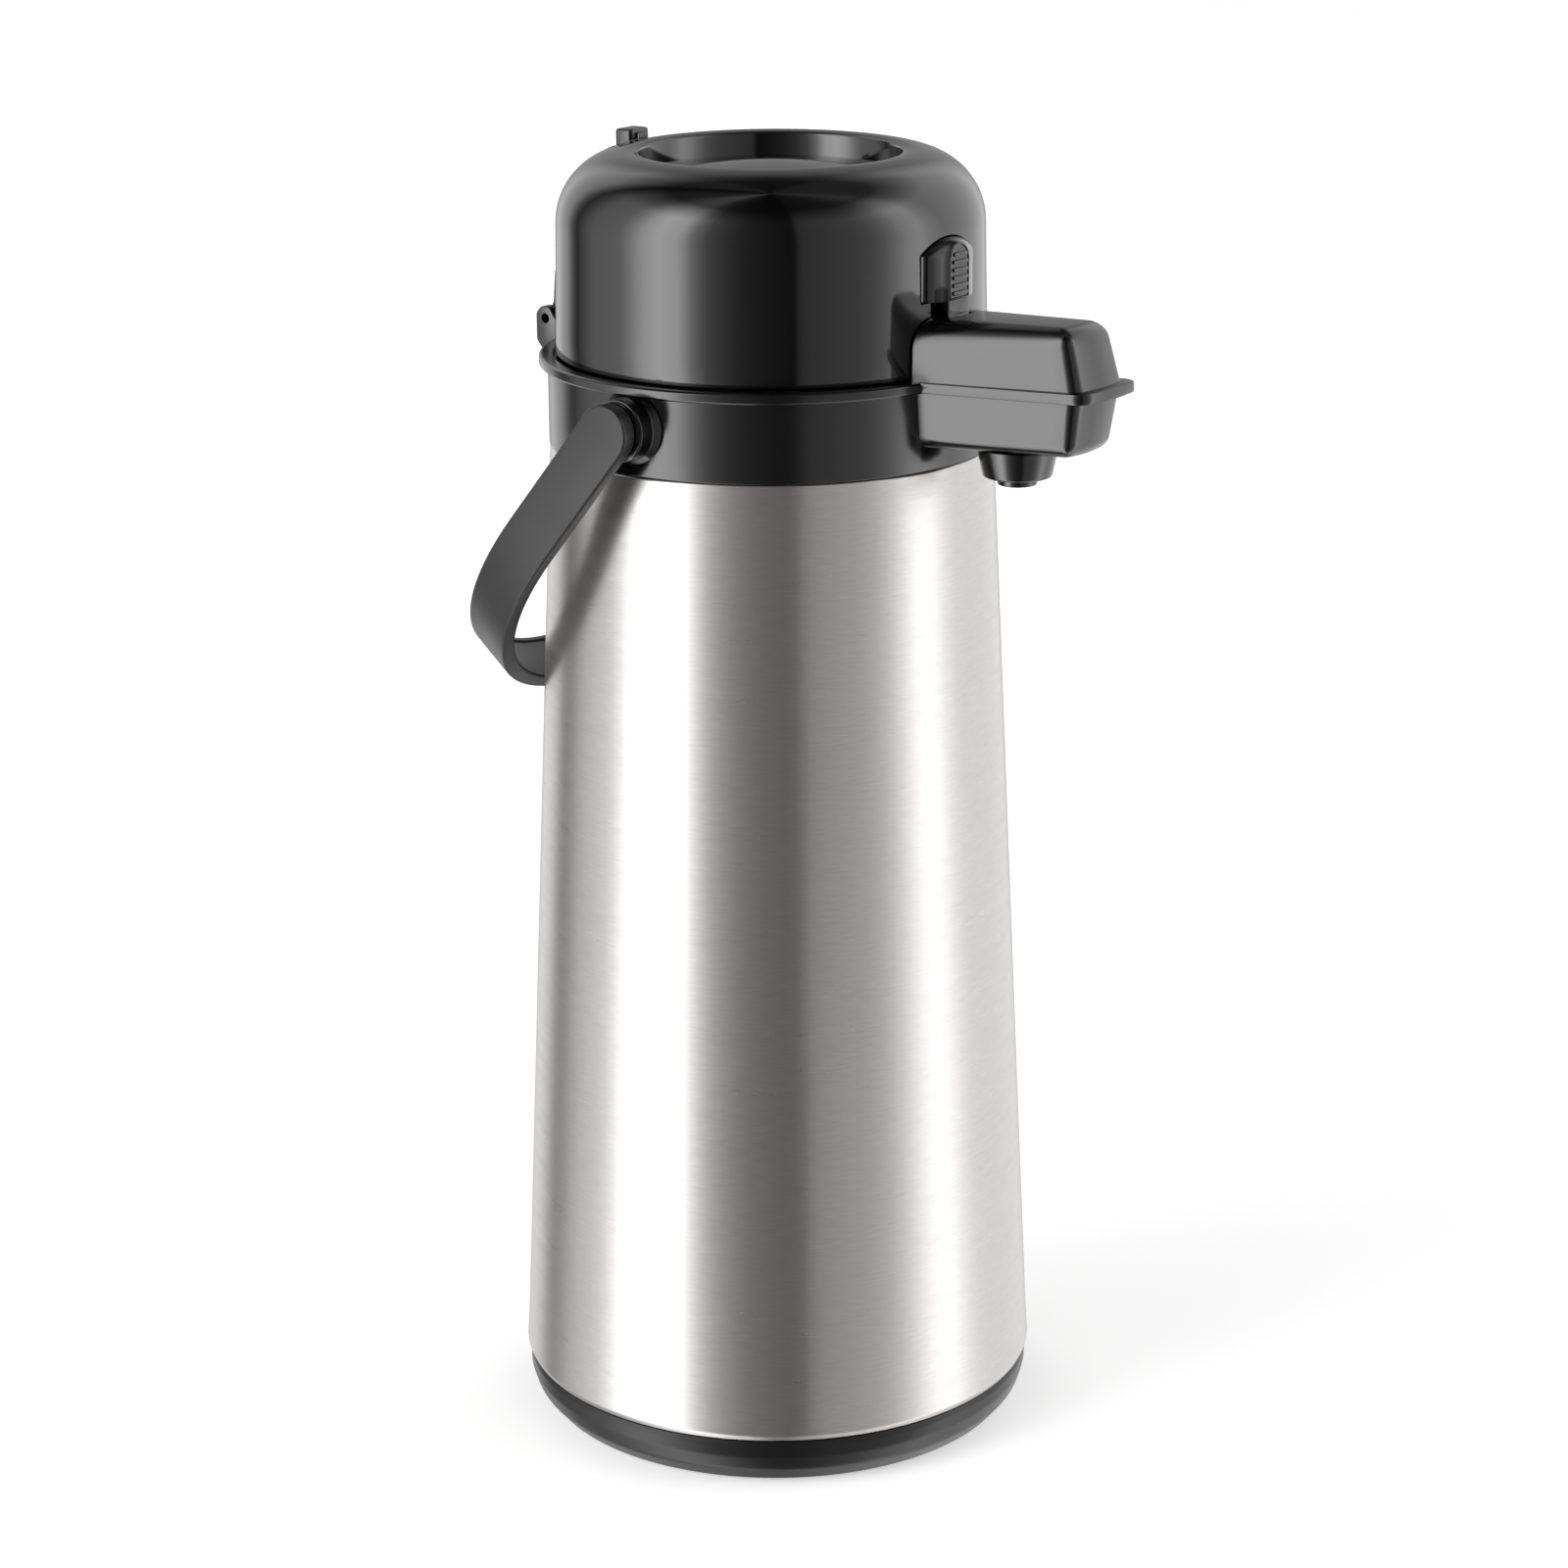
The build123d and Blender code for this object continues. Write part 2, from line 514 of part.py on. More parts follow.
# ---- front latch ------------------------------------------------------------------------
def make_latch():
    with BuildPart() as latch:
        # grip that spreads from its ribbed face to the dome, and its plug in the dome's window
        with BuildSketch(front_plane(LATCH_FACE_Y)):
            add(latch_outline(LATCH_HALF, LATCH_LOW, LATCH_TOP - LATCH_HALF, LATCH_TOP))
        with BuildSketch(front_plane(LATCH_ROOT_Y)):
            add(latch_outline(LATCH_ROOT_HALF, LATCH_LOW + 0.4, LATCH_TOP - 3.4, LATCH_TOP + 1.1))
        loft()
        with BuildSketch(front_plane(LATCH_ROOT_Y)):
            add(latch_outline(LATCH_ROOT_HALF, LATCH_LOW + 0.4, LATCH_TOP - 3.4, LATCH_TOP + 1.1))
        extrude(amount=-2.4)
        # grip ribs across the face
        rib_pitch = 2.32
        with BuildSketch(front_plane(LATCH_FACE_Y)):
            with GridLocations(0, rib_pitch, 1, 6):
                with Locations((0, LATCH_LOW + 1.7 + 2.5 * rib_pitch)):
                    Rectangle(2 * LATCH_HALF - 1.2, 1.2)
        extrude(amount=0.5)
        # arm to the pivot, and the neck and nose that hold the spout cover's ledge
        with BuildSketch(cross_plane(-2.8)):
            with BuildLine():
                Polyline((LATCH_FACE_Y + 2.0, 372.0), (LATCH_PIVOT_Y, 373.0), (LATCH_PIVOT_Y, 379.0),
                         (LATCH_FACE_Y + 2.0, 381.0), close=True)
            make_face()
            with Locations((LATCH_PIVOT_Y, LATCH_PIVOT_Z)):
                Circle(3.0)
                Circle(LATCH_PIN_R + 0.05, mode=Mode.SUBTRACT)
        extrude(amount=5.6)
        with BuildSketch(cross_plane(-5.2)):
            with BuildLine():
                Polyline((-70.2, 371.5), (-70.2, 366.0), (-71.6, 365.6), (-71.6, 363.6), (-69.0, 363.6),
                         (-67.4, 371.5), close=True)
            make_face()
        extrude(amount=10.4)
    keep(latch, "latch")
    with BuildPart() as pin:
        with BuildSketch(cross_plane(-LATCH_EAR_X - 1.9)):
            with Locations((LATCH_PIVOT_Y, LATCH_PIVOT_Z)):
                Circle(LATCH_PIN_R)
        extrude(amount=2 * (LATCH_EAR_X + 1.9))
    keep(pin, "latch_pin")
    with BuildPart() as spring:
        with BuildLine():
            coil = Helix(pitch=0.75, height=1.2, radius=1.9, center=(3.3, LATCH_PIVOT_Y, LATCH_PIVOT_Z),
                         direction=(1, 0, 0))
        with BuildSketch(Plane(origin=coil @ 0, z_dir=coil % 0)):
            Circle(0.25)
        sweep(is_frenet=True)
    keep(spring, "latch_spring")


# ---- lock slider ------------------------------------------------------------------------
def make_lock():
    with BuildPart() as knob:
        with BuildSketch(Plane.XY.offset(400.0)):
            with Locations((0, LOCK_R + 3.6)):
                RectangleRounded(9.5, 7.0, 1.6)
        extrude(amount=12.3)
        fillet(knob.edges().group_by(Axis.Z)[-1], radius=1.2)
        with BuildSketch(Plane.XZ):
            with BuildLine():
                crown = ThreePointArc((DOME_TOP_R + GAP, CREST_Z - SHOULDER_R),
                                      (59.77, shoulder_height(59.77, GAP)),
                                      (DOME_TOP_R - SHOULDER_R, CREST_Z + GAP))
                Polyline(crown @ 1, (0, CREST_Z + GAP), (0, CREST_Z - SHOULDER_R), crown @ 0)
            make_face()
        revolve(axis=Axis.Z, mode=Mode.SUBTRACT)
        # stem through the arc slot
        with BuildSketch(Plane.XY.offset(404.2)):
            with Locations((0, LOCK_R)):
                Rectangle(4.4, LOCK_SLOT_WIDTH - 1.0)
        extrude(amount=6.6)
    keep(knob, "lock_knob")
    with BuildPart() as shoe:
        with BuildSketch(Plane.XY.offset(402.4)):
            SlotArc(CenterArc((0, 0), 49.6, 90 - 9.0, 18.0), 6.6)
        extrude(amount=1.8)
    keep(shoe, "lock_shoe")


# ---- handle -----------------------------------------------------------------------------
def handle_plane(height=0.0):
    """Plane of the handle's loop at rest: local Y runs from the pivots to the grip."""
    normal = (0, sin(radians(HANDLE_DROP)), cos(radians(HANDLE_DROP)))
    return Plane(origin=(0, 0, PIVOT_Z), x_dir=(1, 0, 0), z_dir=normal).offset(height)


def make_handle():
    inner_r = HANDLE_OUT - HANDLE_THICK
    straight = HANDLE_REACH - inner_r
    with BuildPart() as handle:
        with BuildSketch(handle_plane(-HANDLE_WIDTH / 2)):
            with BuildLine():
                outer_left = Line((-HANDLE_OUT, 0), (-HANDLE_OUT, straight))
                outer_arc = ThreePointArc(outer_left @ 1, (0, straight + HANDLE_OUT),
                                          (HANDLE_OUT, straight))
                outer_right = Line(outer_arc @ 1, (HANDLE_OUT, 0))
                end_right = Line(outer_right @ 1, (inner_r, 0))
                inner_right = Line(end_right @ 1, (inner_r, straight))
                inner_arc = ThreePointArc(inner_right @ 1, (0, straight + inner_r), (-inner_r, straight))
                inner_left = Line(inner_arc @ 1, (-inner_r, 0))
                Line(inner_left @ 1, outer_left @ 0)
            make_face()
        extrude(amount=HANDLE_WIDTH)
        for side in (-1, 1):
            with BuildSketch(cross_plane(side * inner_r, PIVOT_Z)):
                Circle(HANDLE_WIDTH / 2)
            extrude(amount=side * HANDLE_THICK)
            with BuildSketch(cross_plane(side * 70.5, PIVOT_Z)):
                Circle(HANDLE_PIN_R)
            extrude(amount=side * (inner_r - 70.5))
    keep(handle, "handle")
    with BuildPart() as washers:
        for side in (-1, 1):
            with BuildSketch(cross_plane(side * (BOSS_END + 0.1), PIVOT_Z)):
                Circle(BOSS_R - 0.6)
                Circle(HANDLE_PIN_R + 0.4, mode=Mode.SUBTRACT)
            extrude(amount=side * 1.5)
    keep(washers, "trunnion_washers")


make_base()
make_jacket()
make_liner()
make_collar()
make_spout_cover()
make_coffee_path()
make_dome()
make_hinge()
make_inner_lid()
make_pump()
make_latch()
make_lock()
make_handle()
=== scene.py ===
from math import asin, cos, pi, radians, sin, sqrt, tan

import bmesh
import bpy
from mathutils import Matrix, Vector


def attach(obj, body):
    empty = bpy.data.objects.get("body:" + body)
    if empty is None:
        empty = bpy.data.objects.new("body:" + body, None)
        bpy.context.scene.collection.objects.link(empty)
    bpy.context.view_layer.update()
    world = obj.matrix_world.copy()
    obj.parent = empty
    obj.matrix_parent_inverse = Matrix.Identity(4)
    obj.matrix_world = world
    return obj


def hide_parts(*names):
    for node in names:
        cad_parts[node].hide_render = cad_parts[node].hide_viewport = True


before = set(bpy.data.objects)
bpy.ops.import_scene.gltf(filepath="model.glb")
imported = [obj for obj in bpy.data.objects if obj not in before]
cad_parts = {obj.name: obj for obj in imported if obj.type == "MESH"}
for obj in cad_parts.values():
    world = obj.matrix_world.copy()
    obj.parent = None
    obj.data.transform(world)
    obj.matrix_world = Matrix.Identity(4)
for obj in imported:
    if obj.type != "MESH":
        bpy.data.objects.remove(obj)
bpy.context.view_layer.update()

# Looks of the thermal airpot. Lengths in this script are millimetres, turned into metres by MM.
# The body axis is Z, the spout points to -Y and the handle's pivots lie along X.
MM = 0.001

TURNS = 192                  # segments of a full turn
SPOUT_AZIMUTH = 53.0         # degrees between the spout and the camera's direction
SPOUT_TILT = 2.0
SPOUT_ROOT = 66.0
SPOUT_TIP = 121.8
ROOT_HALF = 17.6
TIP_HALF = 12.7
FLANGE_TOP = 348.1
FLANGE_THICK = 3.3
COVER_RISE = 17.9
TROUGH_DROP = 20.5
NOZZLE_Y = -91.5
PIVOT_Z = 335.3
HANDLE_DROP = 50.0
HANDLE_OUT = 83.5
HANDLE_THICK = 5.0
HANDLE_WIDTH = 17.5
HANDLE_REACH = 125.0
DOME_R = 66.9
SHOULDER_TOP_R = 66.0
SHOULDER_R = 22.0
CREST_Z = 410.0
RIM_R = 40.2
WELL_BOTTOM = 366.0
PLATE_R = 39.5
PLATE_TOP = 402.6
PLATE_CROWN = 3.6
LATCH_WINDOW_HALF = 12.95
LEAF_WIDTH = 35.0
LOCK_SLOT_TURN = 30.0        # degrees
GRAIN_SCALE = 1400.0
FLOOR_HALF = 4000.0
LIGHT_PEAK = 6.0
# The world light's level against degrees from the camera's direction, towards the right of the view.
LIGHT_STOPS = [
    (-180, 0.35), (-168, 0.5), (-156, 1.2), (-138, 1.05), (-130, 0.38), (-125, 0.14), (-118, 0.4),
    (-108, 0.9), (-88, 1.35), (-80, 2.3), (-72, 4), (-62, 5.3), (-50, 4.6), (-42, 1.95), (-34, 0.8),
    (-24, 0.4), (-14, 0.2), (0, 0.1), (12, 0.06), (16, 0.38), (30, 0.52), (44, 0.62), (54, 0.84),
    (62, 1.25), (70, 1.95), (76, 2.65), (86, 3), (94, 2.1), (104, 1.5), (156, 1.25), (168, 0.5),
    (180, 0.35)]


# ---- small geometry helpers -------------------------------------------------------------
def make_object(name, verts, faces, smooth_angle=32.0):
    """A mesh object from millimetre points, with outward faces and smooth shading."""
    mesh = bpy.data.meshes.new(name)
    mesh.from_pydata([(x * MM, y * MM, z * MM) for x, y, z in verts], [], faces)
    work = bmesh.new()
    work.from_mesh(mesh)
    bmesh.ops.remove_doubles(work, verts=work.verts, dist=1e-7)
    bmesh.ops.recalc_face_normals(work, faces=work.faces)
    work.to_mesh(mesh)
    work.free()
    obj = bpy.data.objects.new(name, mesh)
    bpy.context.scene.collection.objects.link(obj)
    soften(obj, smooth_angle)
    return obj


def soften(obj, angle=32.0):
    """Smooth shading that keeps edges sharper than an angle."""
    obj.data.shade_smooth()
    obj.data.set_sharp_from_angle(angle=radians(angle))


def rounded(points, closed=True, steps=6):
    """An outline with round corners, from (x, y, radius) corners."""
    out = []
    count = len(points)
    for i, (x, y, radius) in enumerate(points):
        here = Vector((x, y))
        if radius <= 0 or (not closed and i in (0, count - 1)):
            out.append((x, y))
            continue
        before = Vector(points[i - 1][:2]) - here
        after = Vector(points[(i + 1) % count][:2]) - here
        half = before.angle(after) / 2
        if half > radians(89):
            out.append((x, y))
            continue
        cut = min(radius / tan(half), 0.49 * before.length, 0.49 * after.length)
        real = cut * tan(half)
        centre = here + (before.normalized() + after.normalized()).normalized() * (real / sin(half))
        first = here + before.normalized() * cut - centre
        last = here + after.normalized() * cut - centre
        sweep = first.angle_signed(last)
        for k in range(steps + 1):
            turn = -sweep * k / steps
            spun = Vector((first.x * cos(turn) - first.y * sin(turn),
                           first.x * sin(turn) + first.y * cos(turn)))
            out.append(tuple(centre + spun))
    return out


def lathe(name, outline, centre=(0.0, 0.0), axis="Z", closed=True, turns=TURNS, smooth_angle=32.0):
    """A turned solid from (radius, height) points; a radius of 0 lies on the axis."""
    verts, rings = [], []
    for radius, height in outline:
        if radius < 1e-6:
            rings.append([len(verts)])
            verts.append((0.0, 0.0, height))
        else:
            rings.append(list(range(len(verts), len(verts) + turns)))
            verts += [(radius * cos(2 * pi * k / turns), radius * sin(2 * pi * k / turns), height)
                      for k in range(turns)]
    faces = []
    pairs = list(zip(rings, rings[1:] + rings[:1])) if closed else list(zip(rings, rings[1:]))
    for low, high in pairs:
        if len(low) == 1 and len(high) == 1:
            continue
        for k in range(turns):
            n = (k + 1) % turns
            if len(low) == 1:
                faces.append((low[0], high[n], high[k]))
            elif len(high) == 1:
                faces.append((low[k], low[n], high[0]))
            else:
                faces.append((low[k], low[n], high[n], high[k]))
    if axis == "X":
        verts = [(z, x, y) for x, y, z in verts]
    verts = [(x + centre[0], y + centre[1], z) for x, y, z in verts] if axis == "Z" else \
            [(x, y + centre[0], z + centre[1]) for x, y, z in verts]
    return make_object(name, verts, faces, smooth_angle)


def skin(name, rings, closed_ring=True, caps=True, smooth_angle=32.0):
    """A loft through rings of equal length, with optional flat ends."""
    size = len(rings[0])
    verts = [p for ring in rings for p in ring]
    faces = []
    for r in range(len(rings) - 1):
        for k in range(size if closed_ring else size - 1):
            n = (k + 1) % size
            faces.append((r * size + k, r * size + n, (r + 1) * size + n, (r + 1) * size + k))
    if caps:
        faces.append(tuple(range(size - 1, -1, -1)))
        faces.append(tuple(range((len(rings) - 1) * size, len(rings) * size)))
    return make_object(name, verts, faces, smooth_angle)


def prism(name, outline, plane, depth, bevel=0.0, segments=3):
    """An outline in a plane's local XY, extruded along its normal from 0 to depth."""
    verts = [tuple(plane @ Vector((x, y, z))) for z in (0.0, depth) for x, y in outline]
    size = len(outline)
    faces = [tuple(range(size - 1, -1, -1)), tuple(range(size, 2 * size))]
    faces += [(k, (k + 1) % size, size + (k + 1) % size, size + k) for k in range(size)]
    obj = make_object(name, verts, faces)
    if bevel > 0:
        round_edges(obj, bevel, segments)
    return obj


def apply_modifiers(obj):
    """Bake an object's modifiers into its mesh."""
    deps = bpy.context.evaluated_depsgraph_get()
    mesh = bpy.data.meshes.new_from_object(obj.evaluated_get(deps))
    obj.modifiers.clear()
    old = obj.data
    obj.data = mesh
    bpy.data.meshes.remove(old)


def round_edges(obj, width, segments=3, angle=30.0):
    """Round an object's sharp edges."""
    bevel = obj.modifiers.new("bevel", "BEVEL")
    bevel.width = width * MM
    bevel.segments = segments
    bevel.limit_method = "ANGLE"
    bevel.angle_limit = radians(angle)
    bevel.harden_normals = False
    apply_modifiers(obj)
    soften(obj, 40.0)


def combine(obj, tool, operation="UNION"):
    """Boolean of obj with tool, baked."""
    mod = obj.modifiers.new("cut", "BOOLEAN")
    mod.operation = operation
    mod.solver = "EXACT"
    mod.object = tool
    apply_modifiers(obj)
    work = bmesh.new()
    work.from_mesh(obj.data)
    bmesh.ops.remove_doubles(work, verts=work.verts, dist=3e-6)
    bmesh.ops.dissolve_degenerate(work, edges=work.edges, dist=1e-6)
    work.to_mesh(obj.data)
    work.free()
    bpy.data.objects.remove(tool, do_unlink=True)
    soften(obj, 35.0)
    return obj


def place(obj, body, material, slot, *nodes):
    """Finish a piece: material, body and the CAD nodes that it stands for; the slot argument is not used."""
    obj.data.materials.clear()
    obj.data.materials.append(material)
    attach(obj, body)
    if nodes:
        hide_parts(*nodes)
    return obj


def basis(origin, x_axis, normal):
    """A placement matrix in millimetres from an origin, a local X and a normal."""
    x = Vector(x_axis).normalized()
    z = Vector(normal).normalized()
    y = z.cross(x)
    return Matrix(((x.x, y.x, z.x, origin[0]), (x.y, y.y, z.y, origin[1]),
                   (x.z, y.z, z.z, origin[2]), (0, 0, 0, 1)))


# ---- materials --------------------------------------------------------------------------
def new_material(name):
    material = bpy.data.materials.new(name)
    material.use_nodes = True
    tree = material.node_tree
    return material, tree, tree.nodes["Principled BSDF"]


def node(tree, kind, **values):
    made = tree.nodes.new(kind)
    for key, value in values.items():
        setattr(made, key, value)
    return made


def scaled_coords(tree, scale):
    coords = node(tree, "ShaderNodeTexCoord")
    mapping = node(tree, "ShaderNodeMapping")
    mapping.inputs["Scale"].default_value = scale
    tree.links.new(coords.outputs["Object"], mapping.inputs["Vector"])
    return mapping.outputs["Vector"]


def noise(tree, vector, scale, detail=3.0, roughness=0.5):
    made = node(tree, "ShaderNodeTexNoise")
    made.inputs["Scale"].default_value = scale
    made.inputs["Detail"].default_value = detail
    made.inputs["Roughness"].default_value = roughness
    tree.links.new(vector, made.inputs["Vector"])
    return made.outputs["Fac"]


def ramp(tree, value, low, high, start=0.0, end=1.0):
    made = node(tree, "ShaderNodeMapRange")
    made.inputs["From Min"].default_value = start
    made.inputs["From Max"].default_value = end
    made.inputs["To Min"].default_value = low
    made.inputs["To Max"].default_value = high
    tree.links.new(value, made.inputs["Value"])
    return made.outputs["Result"]


def mixed_colour(tree, factor, dark, light):
    made = node(tree, "ShaderNodeMix", data_type="RGBA")
    made.inputs["A"].default_value = (*dark, 1)
    made.inputs["B"].default_value = (*light, 1)
    tree.links.new(factor, made.inputs["Factor"])
    return made.outputs["Result"]


def bump(tree, shader, height, strength, distance):
    made = node(tree, "ShaderNodeBump")
    made.inputs["Strength"].default_value = strength
    made.inputs["Distance"].default_value = distance
    tree.links.new(height, made.inputs["Height"])
    tree.links.new(made.outputs["Normal"], shader.inputs["Normal"])


def brushed_steel():
    """Stainless sheet brushed round the body: short fine streaks that run level."""
    material, tree, shader = new_material("brushed_steel")
    coords = node(tree, "ShaderNodeTexCoord")
    split = node(tree, "ShaderNodeSeparateXYZ")
    tree.links.new(coords.outputs["Object"], split.inputs["Vector"])
    turn = node(tree, "ShaderNodeMath", operation="ARCTAN2")
    tree.links.new(split.outputs["Y"], turn.inputs[0])
    tree.links.new(split.outputs["X"], turn.inputs[1])
    around = node(tree, "ShaderNodeMath", operation="MULTIPLY")
    around.inputs[1].default_value = 7.0
    tree.links.new(turn.outputs[0], around.inputs[0])
    up = node(tree, "ShaderNodeMath", operation="MULTIPLY")
    up.inputs[1].default_value = 900.0
    tree.links.new(split.outputs["Z"], up.inputs[0])
    brushed = node(tree, "ShaderNodeCombineXYZ")
    tree.links.new(around.outputs[0], brushed.inputs["X"])
    tree.links.new(up.outputs[0], brushed.inputs["Y"])
    fine = noise(tree, brushed.outputs["Vector"], 1.6, 4.0, 0.7)
    broad = noise(tree, brushed.outputs["Vector"], 0.35, 2.0, 0.5)
    streaks = ramp(tree, fine, 0.0, 1.0, 0.3, 0.7)
    colour = mixed_colour(tree, streaks, (0.44, 0.42, 0.407), (0.50, 0.478, 0.463))
    tree.links.new(colour, shader.inputs["Base Color"])
    tree.links.new(ramp(tree, broad, 0.27, 0.34, 0.3, 0.7), shader.inputs["Roughness"])
    shader.inputs["Metallic"].default_value = 0.85
    shader.inputs["Anisotropic"].default_value = 0.9
    shader.inputs["Anisotropic Rotation"].default_value = 0.25
    tangent = node(tree, "ShaderNodeTangent", direction_type="RADIAL", axis="Z")
    tree.links.new(tangent.outputs["Tangent"], shader.inputs["Tangent"])
    bump(tree, shader, fine, 0.05, 0.0002)
    return material


def plain_steel(name, colour, roughness):
    """Drawn or turned steel with faint streaks."""
    material, tree, shader = new_material(name)
    grain = noise(tree, scaled_coords(tree, (40.0, 40.0, 600.0)), 1.0, 3.0, 0.6)
    darker = tuple(c * 0.9 for c in colour)
    tree.links.new(mixed_colour(tree, grain, darker, colour), shader.inputs["Base Color"])
    tree.links.new(ramp(tree, grain, roughness - 0.04, roughness + 0.05), shader.inputs["Roughness"])
    shader.inputs["Metallic"].default_value = 1.0
    return material


def moulded(name, colour, roughness, texture=0.0, specular=0.5):
    """Moulded plastic: faint waviness in its gloss, and an optional fine spark texture."""
    material, tree, shader = new_material(name)
    vector = scaled_coords(tree, (1.0, 1.0, 1.0))
    waves = noise(tree, vector, 28.0, 2.0, 0.5)
    lighter = tuple(c * 1.25 for c in colour)
    tree.links.new(mixed_colour(tree, waves, colour, lighter), shader.inputs["Base Color"])
    tree.links.new(ramp(tree, waves, roughness * 0.9, roughness * 1.15, 0.3, 0.7), shader.inputs["Roughness"])
    shader.inputs["Specular IOR Level"].default_value = specular
    if texture > 0:
        grain = noise(tree, vector, GRAIN_SCALE, 2.0, 0.6)
        bump(tree, shader, grain, texture, 0.0001)
    return material


STEEL = brushed_steel()
LINER_STEEL = plain_steel("liner_steel", (0.62, 0.62, 0.63), 0.32)
BRIGHT = plain_steel("bright_steel", (0.7, 0.7, 0.71), 0.2)
GLOSS = moulded("gloss_black", (0.0015, 0.0015, 0.0016), 0.07, specular=0.72)
SATIN = moulded("satin_black", (0.0022, 0.0022, 0.0024), 0.17, specular=0.7)
BASE = moulded("base_black", (0.006, 0.006, 0.0063), 0.34, 0.08, specular=0.35)
GRIP = moulded("handle_black", (0.012, 0.012, 0.0125), 0.4, 0.12, specular=0.4)
INNER = moulded("inner_plastic", (0.06, 0.06, 0.064), 0.4, 0.1)
RUBBER = moulded("seal_rubber", (0.05, 0.05, 0.05), 0.62, 0.2)


# ---- base and jacket --------------------------------------------------------------------
def build_base():
    outline = rounded([
        (52.3, 3.0, 0), (65.5, 3.0, 0), (65.5, 1.4, 0), (74.0, 0.5, 0.5), (76.4, 0.5, 1.2), (80.6, 5.4, 6.0),
        (82.2, 10.6, 4.0), (82.2, 14.2, 1.2), (81.5, 15.8, 0.5), (79.4, 15.8, 0), (79.4, 22.0, 0.6),
        (77.0, 22.0, 0.6), (77.0, 6.2, 1.0), (52.3, 6.2, 0.5)])
    place(lathe("base_shell", outline), "shell", BASE, "base_black", "base_ring")


def build_jacket():
    outline = rounded([
        (79.6, 16.2, 0), (82.0, 16.2, 0.9), (83.2, 18.4, 1.6), (82.62, 26.5, 6.0), (69.05, 319.9, 0.5),
        (68.3, 320.4, 0.2), (68.25, 319.4, 0), (81.8, 27.0, 5.0), (82.3, 18.8, 1.0), (81.5, 17.0, 0.5),
        (79.6, 17.0, 0)], steps=5)
    place(lathe("steel_jacket", outline), "shell", STEEL, "steel", "outer_jacket")


# ---- spout ------------------------------------------------------------------------------
def spout_point(x, y, height):
    """A point given on the spout's tilted parting plane and a height along its normal."""
    tilt = radians(SPOUT_TILT)
    level = FLANGE_TOP - SPOUT_ROOT * tan(tilt)
    return (x, y * cos(tilt) + height * sin(tilt), level - y * sin(tilt) + height * cos(tilt))


def spout_plan(root_half, tip_half, tip, corner, rear_r, bow=1.6, side_steps=14):
    """Points round a section of the spout seen from above, and how many lie outside the rear arc."""
    slope = (root_half - tip_half) / (SPOUT_TIP - SPOUT_ROOT)
    y = -rear_r
    for _ in range(30):
        half = root_half + slope * (SPOUT_ROOT + y)
        y = -sqrt(rear_r ** 2 - half ** 2)
    front = rounded([(-half, y, 0), (-tip_half, -(tip - bow), corner), (0, -tip, 60.0),
                     (tip_half, -(tip - bow), corner), (half, y, 0)], closed=False, steps=7)
    start, end = Vector(front[0]), Vector(front[1])
    left = [tuple(start.lerp(end, k / side_steps)) for k in range(side_steps)]
    outer = left + front[1:-1] + [(-px, py) for px, py in reversed(left)]
    turn = asin(half / rear_r)
    rear = [(rear_r * sin(a), -rear_r * cos(a)) for a in [turn * (1 - k / 8) for k in range(1, 16)]]
    return outer + rear, len(outer)


def spout_solid(name, half, lean, height, edge_root, edge_tip, corner, rear_r, steps=9):
    """Leaning walls over the spout's plan, closed by an edge that is rounder at the root."""
    sign = 1.0 if height > 0 else -1.0
    rise = abs(height)
    levels = [(0.0, 0.0), (0.25, 0.0), (0.5, 0.0), (0.75, 0.0)]
    levels += [(1.0, pi / 2 * k / steps) for k in range(steps + 1)]
    rings = []
    for straight, turn in levels:
        insets = []
        for edge, full in ((edge_root, lean[0]), (edge_tip, lean[1]), (edge_tip, lean[2])):
            level = (rise - edge) * straight + edge * sin(turn)
            insets.append(full * level / rise + edge * (1 - cos(turn)))
        points, _ = spout_plan(half[0] - insets[0], half[1] - insets[1], half[2] - insets[2],
                               max(corner - 0.6 * insets[1], 1.5), rear_r)
        row = []
        for x, y in points:
            share = min(max((-y - SPOUT_ROOT) / (SPOUT_TIP - SPOUT_ROOT), 0.0), 1.0)
            edge = edge_root + (edge_tip - edge_root) * share
            level = (rise - edge) * straight + edge * sin(turn)
            row.append(spout_point(x, y, sign * level))
        rings.append(row)
    return skin(name, rings, smooth_angle=38.0)


def band_solid(name, rear_r):
    """The flange band round the spout, with softened edges."""
    rings = []
    soft = 0.6
    for level, inset in ((-FLANGE_THICK, soft), (0.3 * soft - FLANGE_THICK, 0.3 * soft),
                         (soft - FLANGE_THICK, 0.0), (-soft, 0.0), (-0.3 * soft, 0.3 * soft), (0.0, soft)):
        points, _ = spout_plan(ROOT_HALF + 1.2 - inset, TIP_HALF + 2.2 - inset, SPOUT_TIP + 4.0 - inset,
                               5.5 - inset, rear_r)
        rings.append([spout_point(x, y, level) for x, y in points])
    return skin(name, rings, smooth_angle=50.0)


